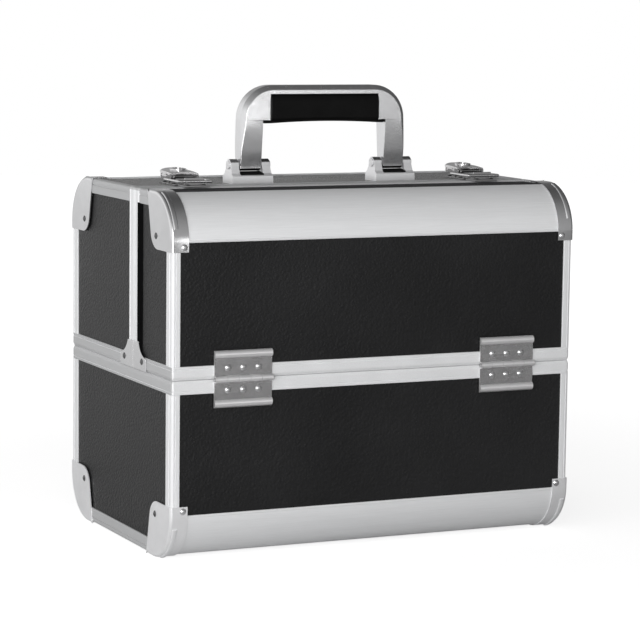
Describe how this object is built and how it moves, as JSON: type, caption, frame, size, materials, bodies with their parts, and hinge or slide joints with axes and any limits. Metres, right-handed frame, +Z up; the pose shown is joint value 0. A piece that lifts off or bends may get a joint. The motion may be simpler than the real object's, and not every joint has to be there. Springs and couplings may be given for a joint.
{
  "type": "makeup train case",
  "caption": "Boxy train case with aluminium edges, two half lids hinged front and back, draw latches, folding handle and cantilever trays.",
  "frame": {"origin": "on the ground under the centre of the closed case", "axes": "+X to the right along the length of the handle, -Y to the hinged front face, +Z up"},
  "size_m": [0.344, 0.2282, 0.354],
  "materials": {
    "pebbled_panel": "fine pebble-grained black skin on board",
    "side_panel": "fine pebble-grained black skin on board",
    "floor_board": "pebbled black skin on board",
    "edge_bar": "satin brushed along its length",
    "rail": "satin with fine drawn lines",
    "cap_chrome": "polished nickel-chrome plate",
    "handle_chrome": "polished nickel-chrome plate",
    "grip": "satin black moulded grip",
    "hinge_nickel": "nickel-plated pressed steel",
    "latch_nickel": "nickel-plated pressed steel",
    "rivet_steel": "bright domed steel",
    "tray_plastic": "black moulded plastic",
    "arm_steel": "bright zinc-plated strip",
    "lock_brass": "nickel-plated lock plug"
  },
  "bodies": {
    "base": {"base_front_panel": "pebbled_panel", "base_back_panel": "pebbled_panel", "base_side_panels": "side_panel", "floor_panel": "floor_board", "bottom_front_bar": "edge_bar", "bottom_back_bar": "edge_bar", "base_edge_rails": "rail", "base_rim_frame": "rail", "base_tongue": "rail", "base_corner_caps": "cap_chrome", "base_rivets": "rivet_steel", "hinge_lower_leaves": "hinge_nickel", "hinge_pins": "hinge_nickel"},
    "front_lid": {"front_lid_panel": "pebbled_panel", "front_lid_side_panels": "side_panel", "front_lid_top_panel": "side_panel", "front_lid_bar": "edge_bar", "front_lid_edge_rails": "rail", "front_lid_frame": "rail", "front_lid_corner_caps": "cap_chrome", "front_lid_rivets": "rivet_steel", "front_foot_plates": "cap_chrome", "front_hinge_leaves": "hinge_nickel", "latch_strikes": "latch_nickel"},
    "back_lid": {"back_lid_panel": "pebbled_panel", "back_lid_side_panels": "side_panel", "back_lid_top_panel": "side_panel", "back_lid_bar": "edge_bar", "back_lid_edge_rails": "rail", "back_lid_frame": "rail", "back_lid_corner_caps": "cap_chrome", "back_lid_rivets": "rivet_steel", "back_foot_plates": "cap_chrome", "back_hinge_leaves": "hinge_nickel", "latch_bases": "latch_nickel", "latch_pins": "rivet_steel", "handle_brackets": "handle_chrome", "handle_pivots": "handle_chrome"},
    "handle": {"handle_frame": "handle_chrome", "handle_grip": "grip"},
    "lever_left": {"lever_left": "latch_nickel"},
    "hook_left": {"hook_left": "latch_nickel"},
    "lock_left": {"lock_left": "lock_brass"},
    "lever_right": {"lever_right": "latch_nickel"},
    "hook_right": {"hook_right": "latch_nickel"},
    "lock_right": {"lock_right": "lock_brass"},
    "front_lead": {"front_lead_arms": "arm_steel", "front_lead_rivets": "rivet_steel"},
    "front_trail": {"front_trail_arms": "arm_steel", "front_trail_rivets": "rivet_steel"},
    "front_lower": {"front_lower_tray": "tray_plastic"},
    "front_upper": {"front_upper_tray": "tray_plastic"},
    "front_link": {"front_links": "arm_steel"},
    "back_lead": {"back_lead_arms": "arm_steel", "back_lead_rivets": "rivet_steel"},
    "back_trail": {"back_trail_arms": "arm_steel", "back_trail_rivets": "rivet_steel"},
    "back_lower": {"back_lower_tray": "tray_plastic"},
    "back_upper": {"back_upper_tray": "tray_plastic"},
    "back_link": {"back_links": "arm_steel"}
  },
  "joints": [
    {"name": "front_lid_hinge", "type": "hinge", "parent": "base", "child": "front_lid", "pos_m": [0, -0.1116, 0.139], "axis": [1, 0, 0], "range_deg": [0, 92]},
    {"name": "back_lid_hinge", "type": "hinge", "parent": "base", "child": "back_lid", "pos_m": [0, 0.1116, 0.139], "axis": [-1, 0, 0], "range_deg": [0, 92]},
    {"name": "handle_fold", "type": "hinge", "parent": "back_lid", "child": "handle", "pos_m": [0, 0, 0.2915], "axis": [1, 0, 0], "range_deg": [-90, 90]},
    {"name": "lever_left_turn", "type": "hinge", "parent": "back_lid", "child": "lever_left", "pos_m": [-0.125, -0.02, 0.2846], "axis": [1, 0, 0], "range_deg": [0, 110]},
    {"name": "hook_left_turn", "type": "hinge", "parent": "lever_left", "child": "hook_left", "pos_m": [-0.125, -0.01342, 0.28221], "axis": [1, 0, 0], "range_deg": [-110, 0]},
    {"name": "lock_left_turn", "type": "hinge", "parent": "lever_left", "child": "lock_left", "pos_m": [-0.125, -0.0071, 0.28765], "axis": [0, -0.0349, 0.9994], "range_deg": [0, 90]},
    {"name": "lever_right_turn", "type": "hinge", "parent": "back_lid", "child": "lever_right", "pos_m": [0.125, -0.02, 0.2846], "axis": [1, 0, 0], "range_deg": [0, 110]},
    {"name": "hook_right_turn", "type": "hinge", "parent": "lever_right", "child": "hook_right", "pos_m": [0.125, -0.01342, 0.28221], "axis": [1, 0, 0], "range_deg": [-110, 0]},
    {"name": "lock_right_turn", "type": "hinge", "parent": "lever_right", "child": "lock_right", "pos_m": [0.125, -0.0071, 0.28765], "axis": [0, -0.0349, 0.9994], "range_deg": [0, 90]},
    {"name": "front_lead_swing", "type": "hinge", "parent": "base", "child": "front_lead", "pos_m": [0, -0.0656, 0.124], "axis": [1, 0, 0], "range_deg": [0, 46]},
    {"name": "front_trail_swing", "type": "hinge", "parent": "base", "child": "front_trail", "pos_m": [0, -0.0506, 0.124], "axis": [1, 0, 0], "range_deg": [0, 46]},
    {"name": "front_lower_tray_pivot", "type": "hinge", "parent": "front_lead", "child": "front_lower", "pos_m": [0, -0.06211, 0.17388], "axis": [1, 0, 0], "range_deg": [-46, 0]},
    {"name": "front_upper_tray_pivot", "type": "hinge", "parent": "front_lead", "child": "front_upper", "pos_m": [0, -0.05876, 0.22176], "axis": [1, 0, 0], "range_deg": [-46, 0]},
    {"name": "front_link_pivot", "type": "hinge", "parent": "front_lead", "child": "front_link", "pos_m": [0, -0.06281, 0.1639], "axis": [1, 0, 0], "range_deg": [-69, 0]},
    {"name": "back_lead_swing", "type": "hinge", "parent": "base", "child": "back_lead", "pos_m": [0, 0.0656, 0.124], "axis": [-1, 0, 0], "range_deg": [0, 56]},
    {"name": "back_trail_swing", "type": "hinge", "parent": "base", "child": "back_trail", "pos_m": [0, 0.0256, 0.124], "axis": [-1, 0, 0], "range_deg": [0, 56]},
    {"name": "back_lower_tray_pivot", "type": "hinge", "parent": "back_lead", "child": "back_lower", "pos_m": [0, 0.05692, 0.17324], "axis": [-1, 0, 0], "range_deg": [-56, 0]},
    {"name": "back_upper_tray_pivot", "type": "hinge", "parent": "back_lead", "child": "back_upper", "pos_m": [0, 0.04858, 0.22051], "axis": [-1, 0, 0], "range_deg": [-56, 0]},
    {"name": "back_link_pivot", "type": "hinge", "parent": "back_lead", "child": "back_link", "pos_m": [0, 0.059, 0.16142], "axis": [-1, 0, 0], "range_deg": [-79, 0]}
  ],
  "couplings": [
    {"joint": "hook_left_turn", "follows": "lever_left_turn", "ratio": -1},
    {"joint": "hook_right_turn", "follows": "lever_right_turn", "ratio": -1},
    {"joint": "front_lead_swing", "follows": "front_lid_hinge", "ratio": 0.5},
    {"joint": "front_trail_swing", "follows": "front_lid_hinge", "ratio": 0.5},
    {"joint": "front_lower_tray_pivot", "follows": "front_lid_hinge", "ratio": -0.5},
    {"joint": "front_upper_tray_pivot", "follows": "front_lid_hinge", "ratio": -0.5},
    {"joint": "front_link_pivot", "follows": "front_lid_hinge", "ratio": -0.75},
    {"joint": "back_lead_swing", "follows": "back_lid_hinge", "ratio": 0.6087},
    {"joint": "back_trail_swing", "follows": "back_lid_hinge", "ratio": 0.6087},
    {"joint": "back_lower_tray_pivot", "follows": "back_lid_hinge", "ratio": -0.6087},
    {"joint": "back_upper_tray_pivot", "follows": "back_lid_hinge", "ratio": -0.6087},
    {"joint": "back_link_pivot", "follows": "back_lid_hinge", "ratio": -0.8587}
  ]
}
